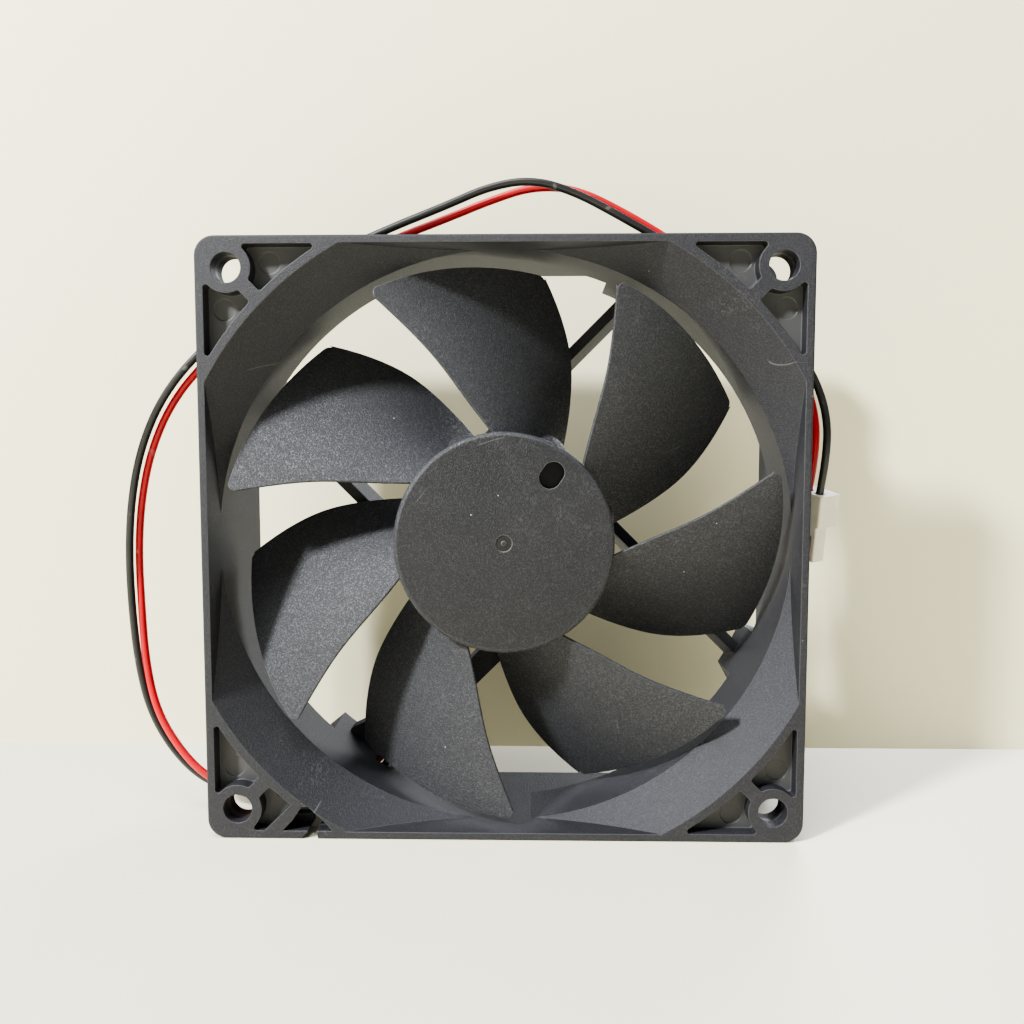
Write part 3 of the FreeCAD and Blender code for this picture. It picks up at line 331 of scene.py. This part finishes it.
# --------------------------------------------------------------------------------------- metalwork
# Steel yoke, shaft, stator and pins, brass bearing tube and bush, and the sintered bronze sleeve.
def metal(name, colour, roughness, scale, streak=(1.0, 1.0, 1.0)):
    """Bare metal with tool marks along one direction."""
    paint = Paint(name, Metallic=1.0)
    drawn = paint.node("ShaderNodeMapping", {}, {"Vector": paint.place, "Scale": streak})
    marks = paint.noise(scale, 3.0, 0.6, drawn)
    stain = paint.noise(260.0, 3.0)
    shade = paint.blend(stain.rise(0.35, 0.75), colour, tuple(0.8 * part for part in colour[:3]) + (1.0,))
    relief = paint.bump(marks, 0.25, 0.00003)
    return paint.finish(Base_Color=shade, Roughness=roughness + 0.18 * marks, Normal=relief)


yoke_steel = metal("yoke_steel", (0.022, 0.022, 0.024, 1.0), 0.3, 2200.0, (1.0, 0.1, 1.0))
dress("rotor_yoke", yoke_steel)
shaft_steel = metal("shaft_steel", (0.62, 0.62, 0.63, 1.0), 0.16, 2600.0, (1.0, 8.0, 1.0))
dress("shaft", shaft_steel)
dress("stator_core", metal("core_steel", (0.33, 0.33, 0.34, 1.0), 0.34, 2000.0, (0.05, 1.4, 0.05)))
pin_tin = metal("tinned_pin", (0.66, 0.66, 0.67, 1.0), 0.28, 1800.0)
dress("terminal_pins", pin_tin)
dress("crimp_contacts", pin_tin)
dress("solder_joints", metal("solder", (0.6, 0.6, 0.62, 1.0), 0.16, 1200.0))
brass = metal("brass", (0.72, 0.5, 0.2, 1.0), 0.24, 2400.0, (1.0, 6.0, 1.0))
dress("bearing_tube", brass)
dress("shaft_bush", brass)
dress("sleeve_bearing", metal("bronze", (0.45, 0.27, 0.13, 1.0), 0.4, 6000.0))
copper = metal("copper_wire", (0.7, 0.24, 0.08, 1.0), 0.25, 3800.0)
for number in range(1, 5):
    dress(f"coil_{number}", copper)


# ------------------------------------------------------------------------------------- small plastics
# Insulators, clip, pad and plug in natural nylon, the ferrite ring, the rubber oil ring and the board.
def plain_plastic(name, colour, roughness, scatter=0.0):
    """A small moulding with a light grain."""
    paint = Paint(name, Subsurface_Weight=scatter, Subsurface_Scale=0.0012)
    grain = paint.noise(2600.0, 2.0)
    cloud = paint.noise(220.0, 3.0)
    shade = paint.blend(cloud.rise(0.3, 0.75), colour, tuple(0.88 * part for part in colour[:3]) + (1.0,))
    normal = paint.bump(grain, 0.2, 0.00003, paint.rounded(0.00012))
    return paint.finish(Base_Color=shade, Roughness=roughness + 0.15 * grain, Normal=normal)


natural = plain_plastic("insulator_plastic", (0.78, 0.76, 0.7, 1.0), 0.4, 0.2)
for name in ("insulator_front", "insulator_rear", "retaining_clip", "thrust_pad", "end_plug"):
    dress(name, natural)
dress("ring_magnet", plain_plastic("magnet", (0.03, 0.028, 0.027, 1.0), 0.6))
dress("oil_ring", plain_plastic("oil_rubber", (0.02, 0.02, 0.02, 1.0), 0.5))
dress("circuit_board", plain_plastic("board", (0.25, 0.16, 0.05, 1.0), 0.3))
chip = plain_plastic("chip_plastic", (0.022, 0.022, 0.024, 1.0), 0.4)
for name in ("driver_chip", "hall_sensor", "diode", "resistor"):
    dress(name, chip)
dress("capacitor", plain_plastic("chip_ceramic", (0.34, 0.22, 0.12, 1.0), 0.35))
dress("blank_label", plain_plastic("label_paper", (0.5, 0.51, 0.52, 1.0), 0.3))

# ---------------------------------------------------------------------------------------- connector
# A two-way housing in natural ivory nylon, a little translucent, hanging from its two wires.
dress("connector_housing", plain_plastic("connector_plastic", (0.82, 0.78, 0.66, 1.0), 0.38, 0.35))


# --------------------------------------------------------------------------------- studio and lights
# A pale table and wall, one soft key light from the upper left in front, and a pale room round it.
def sheet_of(name, corners, colour, roughness):
    """A flat stage sheet in a plain matte colour."""
    mesh = bmesh.new()
    mesh.faces.new([mesh.verts.new(corner) for corner in corners])
    data = bpy.data.meshes.new(name)
    mesh.to_mesh(data)
    mesh.free()
    paint = Paint(name, Base_Color=colour, Roughness=roughness)
    data.materials.append(paint.material)
    piece = bpy.data.objects.new(name, data)
    bpy.context.collection.objects.link(piece)
    return piece, paint


WALL_AT, REACH = 0.030, 1.6
table_corners = [(-REACH, -REACH, floor_level), (REACH, -REACH, floor_level),
                 (REACH, REACH, floor_level), (-REACH, REACH, floor_level)]
wall_corners = [(-REACH, WALL_AT, floor_level), (REACH, WALL_AT, floor_level),
                (REACH, WALL_AT, REACH), (-REACH, WALL_AT, REACH)]
sheet_of("table", table_corners, (0.86, 0.815, 0.62, 1.0), 0.5)
wall, wall_paint = sheet_of("wall", wall_corners, (0.82, 0.77, 0.54, 1.0), 0.7)
# The wall stands close behind the fan, so it only shows from the front and leaves the room's light alone.
behind = wall_paint.node("ShaderNodeNewGeometry", {}, {}, "Backfacing")
clear = wall_paint.node("ShaderNodeBsdfTransparent", {}, {})
solid = Value(wall_paint, wall_paint.shader.outputs[0])
faces = wall_paint.node("ShaderNodeMixShader", {}, {0: behind, 1: solid, 2: clear})
wall_paint.tree.links.new(faces.socket, wall_paint.tree.nodes["Material Output"].inputs["Surface"])
for ray in ("visible_diffuse", "visible_glossy", "visible_transmission", "visible_shadow"):
    setattr(wall, ray, False)


def lamp(name, place, aim, size, power, colour):
    """A round area light that looks at a point."""
    data = bpy.data.lights.new(name, "AREA")
    data.shape = "DISK"
    data.size = size
    data.energy = power
    data.color = colour
    item = bpy.data.objects.new(name, data)
    item.location = place
    item.rotation_euler = (Vector(aim) - Vector(place)).to_track_quat("-Z", "Y").to_euler()
    bpy.context.collection.objects.link(item)


lamp("key", (-0.6, -0.52, 0.6), (0.0, 0.0, 0.0), 0.12, 24.0, (0.965, 0.98, 1.0))
lamp("overhead", (-0.15, -0.3, 0.9), (0.0, 0.0, 0.0), 0.5, 8.0, (0.965, 0.98, 1.0))
lamp("rear_fill", (0.4, 0.9, 0.5), (0.0, 0.0, 0.0), 0.6, 8.0, (0.965, 0.98, 1.0))
world = bpy.data.worlds.new("room")
world.use_nodes = True
world.node_tree.nodes["Background"].inputs["Color"].default_value = (0.9, 0.94, 1.0, 1.0)
world.node_tree.nodes["Background"].inputs["Strength"].default_value = 0.38
bpy.context.scene.world = world
bpy.context.scene.view_settings.look = "AgX - Medium High Contrast"
